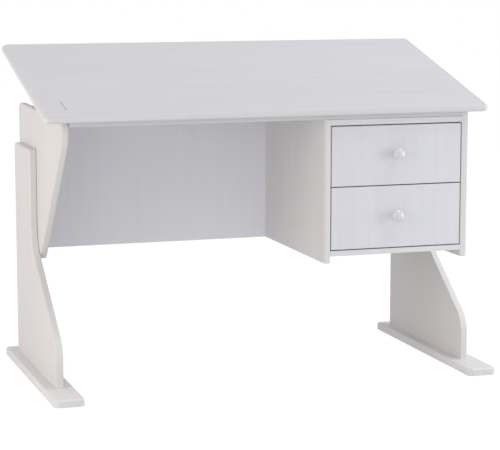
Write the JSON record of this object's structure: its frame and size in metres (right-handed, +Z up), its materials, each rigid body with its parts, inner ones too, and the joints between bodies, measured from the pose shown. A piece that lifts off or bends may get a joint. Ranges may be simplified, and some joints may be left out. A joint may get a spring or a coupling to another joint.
{
  "type": "school desk",
  "caption": "School desk with a tilting writing top, a frame that slides up boot-shaped legs to set its height, and a drawer case beside the knee space.",
  "frame": {"origin": "on the floor, in the middle of the footprint of the feet", "axes": "+X to the sitter's right along the desk's width, +Y from the sitter to the back, +Z up"},
  "size_m": [1.1, 0.61, 0.7949],
  "materials": {
    "white_pine": "white-washed pine boards under satin lacquer",
    "white_pine_top": "white-washed pine, grain along the width, satin lacquer",
    "white_pine_front": "white-washed pine, upright grain, satin lacquer",
    "white_knob": "turned wood, white lacquer",
    "drawer_pine": "bare planed pine",
    "hardboard": "hardboard, white face",
    "beech": "bare beech",
    "zinc_steel": "zinc plated",
    "plated_steel": "nickel plated pressed steel",
    "cast_zinc": "die-cast zinc",
    "brass_insert": "plain brass",
    "aluminium_track": "anodised",
    "black_plastic": "moulded, fine texture"
  },
  "bodies": {
    "base": {"left_foot": "white_pine", "right_foot": "white_pine", "left_leg": "white_pine", "right_leg": "white_pine", "left_height_track": "aluminium_track", "right_height_track": "aluminium_track", "foot_screws": "zinc_steel", "foot_dowels": "beech", "track_screws": "zinc_steel"},
    "upper_frame": {"left_side": "white_pine", "right_side": "white_pine", "drawer_divider": "white_pine", "case_bottom_board": "white_pine", "case_top_board": "white_pine", "modesty_panel": "white_pine", "front_rail": "white_pine", "upper_drawer_left_runner": "beech", "upper_drawer_right_runner": "beech", "lower_drawer_left_runner": "beech", "lower_drawer_right_runner": "beech", "runner_screws": "zinc_steel", "height_bolts": "zinc_steel", "track_nuts": "zinc_steel", "frame_dowels": "beech", "cam_locks": "cast_zinc", "cam_bolts": "zinc_steel", "divider_screws": "zinc_steel", "hinge_lower_leaves": "plated_steel", "hinge_lower_screws": "zinc_steel", "hinge_pins": "plated_steel", "stay_inserts": "brass_insert"},
    "top": {"tabletop": "white_pine_top", "hinge_upper_leaves": "plated_steel", "hinge_upper_screws": "zinc_steel", "stay_brackets": "plated_steel", "stay_bracket_screws": "zinc_steel", "stay_rivets": "zinc_steel"},
    "left_stay": {"left_stay_arm": "plated_steel"},
    "right_stay": {"right_stay_arm": "plated_steel"},
    "left_clamp": {"left_stay_knob": "black_plastic", "left_stay_stud": "zinc_steel"},
    "right_clamp": {"right_stay_knob": "black_plastic", "right_stay_stud": "zinc_steel"},
    "upper_drawer": {"upper_drawer_front": "white_pine_front", "upper_drawer_back": "drawer_pine", "upper_drawer_bottom": "hardboard", "upper_drawer_left_side": "drawer_pine", "upper_drawer_right_side": "drawer_pine", "upper_drawer_knob": "white_knob", "upper_drawer_knob_screw": "zinc_steel", "upper_drawer_dowels": "beech"},
    "lower_drawer": {"lower_drawer_front": "white_pine_front", "lower_drawer_back": "drawer_pine", "lower_drawer_bottom": "hardboard", "lower_drawer_left_side": "drawer_pine", "lower_drawer_right_side": "drawer_pine", "lower_drawer_knob": "white_knob", "lower_drawer_knob_screw": "zinc_steel", "lower_drawer_dowels": "beech"}
  },
  "joints": [
    {"name": "height_slide", "type": "slide", "parent": "base", "child": "upper_frame", "axis": [0, 0, 1], "range_m": [0, 0.14]},
    {"name": "top_tilt", "type": "hinge", "parent": "upper_frame", "child": "top", "pos_m": [0, -0.222, 0.6433], "axis": [1, 0, 0], "range_deg": [-14.4, 9]},
    {"name": "left_stay_turn", "type": "hinge", "parent": "top", "child": "left_stay", "pos_m": [-0.4545, 0.27588, 0.75569], "axis": [1, 0, 0], "range_deg": [-4.6, 7.6]},
    {"name": "right_stay_turn", "type": "hinge", "parent": "top", "child": "right_stay", "pos_m": [0.4545, 0.27588, 0.75569], "axis": [1, 0, 0], "range_deg": [-4.6, 7.6]},
    {"name": "left_clamp_turn", "type": "hinge", "parent": "upper_frame", "child": "left_clamp", "pos_m": [-0.447, 0.28, 0.55], "axis": [1, 0, 0], "range_deg": [0, 270]},
    {"name": "right_clamp_turn", "type": "hinge", "parent": "upper_frame", "child": "right_clamp", "pos_m": [0.447, 0.28, 0.55], "axis": [1, 0, 0], "range_deg": [0, 270]},
    {"name": "upper_drawer_slide", "type": "slide", "parent": "upper_frame", "child": "upper_drawer", "axis": [0, -1, 0], "range_m": [0, 0.3]},
    {"name": "lower_drawer_slide", "type": "slide", "parent": "upper_frame", "child": "lower_drawer", "axis": [0, -1, 0], "range_m": [0, 0.3]}
  ],
  "couplings": [
    {"joint": "left_stay_turn", "follows": "top_tilt", "ratio": -0.503},
    {"joint": "right_stay_turn", "follows": "top_tilt", "ratio": -0.503}
  ]
}
